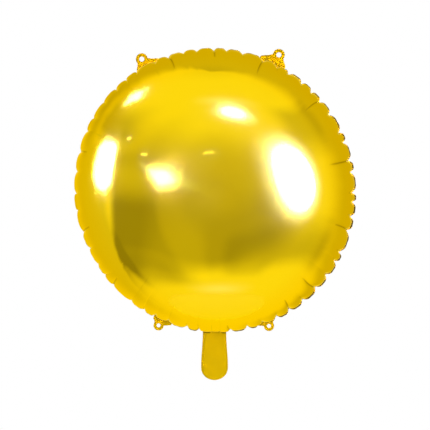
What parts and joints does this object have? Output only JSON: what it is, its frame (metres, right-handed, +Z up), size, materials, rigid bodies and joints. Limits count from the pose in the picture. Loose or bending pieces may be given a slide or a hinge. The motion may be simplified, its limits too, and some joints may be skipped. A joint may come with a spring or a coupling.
{
  "type": "foil balloon",
  "caption": "Round inflated foil balloon: two welded film discs with a scalloped seam, punched hanging tabs and a flat filling neck with its valve inside.",
  "frame": {"origin": "centre of the inflated balloon, in the plane of its welded rim", "axes": "+Z up, from the neck to the two larger tabs; -Y out of the front face; +X to the right as seen from the front"},
  "size_m": [0.3528, 0.2056, 0.4123],
  "materials": {
    "gold_film": "polished",
    "welded_gold_film": "satin",
    "valve_film": "gloss"
  },
  "bodies": {
    "envelope": {"front_panel": "gold_film", "back_panel": "gold_film", "rim_seam": "welded_gold_film", "neck_root_front": "welded_gold_film", "neck_root_back": "welded_gold_film", "valve_sleeve_front": "valve_film", "valve_sleeve_back": "valve_film"},
    "neck": {"neck_front_leaf": "welded_gold_film", "neck_back_leaf": "welded_gold_film", "neck_left_weld": "welded_gold_film", "neck_right_weld": "welded_gold_film", "valve_inlet_front": "valve_film", "valve_inlet_back": "valve_film"},
    "tab_top_left": {"hanging_tab_top_left": "welded_gold_film"},
    "tab_top_right": {"hanging_tab_top_right": "welded_gold_film"},
    "tab_bottom_left": {"hanging_tab_bottom_left": "welded_gold_film"},
    "tab_bottom_right": {"hanging_tab_bottom_right": "welded_gold_film"}
  },
  "joints": [
    {"name": "neck_fold", "type": "hinge", "parent": "envelope", "child": "neck", "pos_m": [0, 0, -0.17672], "axis": [-1, 0, 0], "range_deg": [-90, 90], "stiffness_Nm_per_rad": 0.0005},
    {"name": "tab_top_left_fold", "type": "hinge", "parent": "envelope", "child": "tab_top_left", "pos_m": [-0.08215, 0, 0.15647], "axis": [0.8854, 0, 0.4648], "range_deg": [-90, 90], "stiffness_Nm_per_rad": 0.0005},
    {"name": "tab_top_right_fold", "type": "hinge", "parent": "envelope", "child": "tab_top_right", "pos_m": [0.07329, 0, 0.16081], "axis": [0.91, 0, -0.4147], "range_deg": [-90, 90], "stiffness_Nm_per_rad": 0.0005},
    {"name": "tab_bottom_left_fold", "type": "hinge", "parent": "envelope", "child": "tab_bottom_left", "pos_m": [-0.06534, 0, -0.1642], "axis": [-0.9291, 0, 0.3697], "range_deg": [-90, 90], "stiffness_Nm_per_rad": 0.0005},
    {"name": "tab_bottom_right_fold", "type": "hinge", "parent": "envelope", "child": "tab_bottom_right", "pos_m": [0.06448, 0, -0.16454], "axis": [-0.9311, 0, -0.3649], "range_deg": [-90, 90], "stiffness_Nm_per_rad": 0.0005}
  ]
}
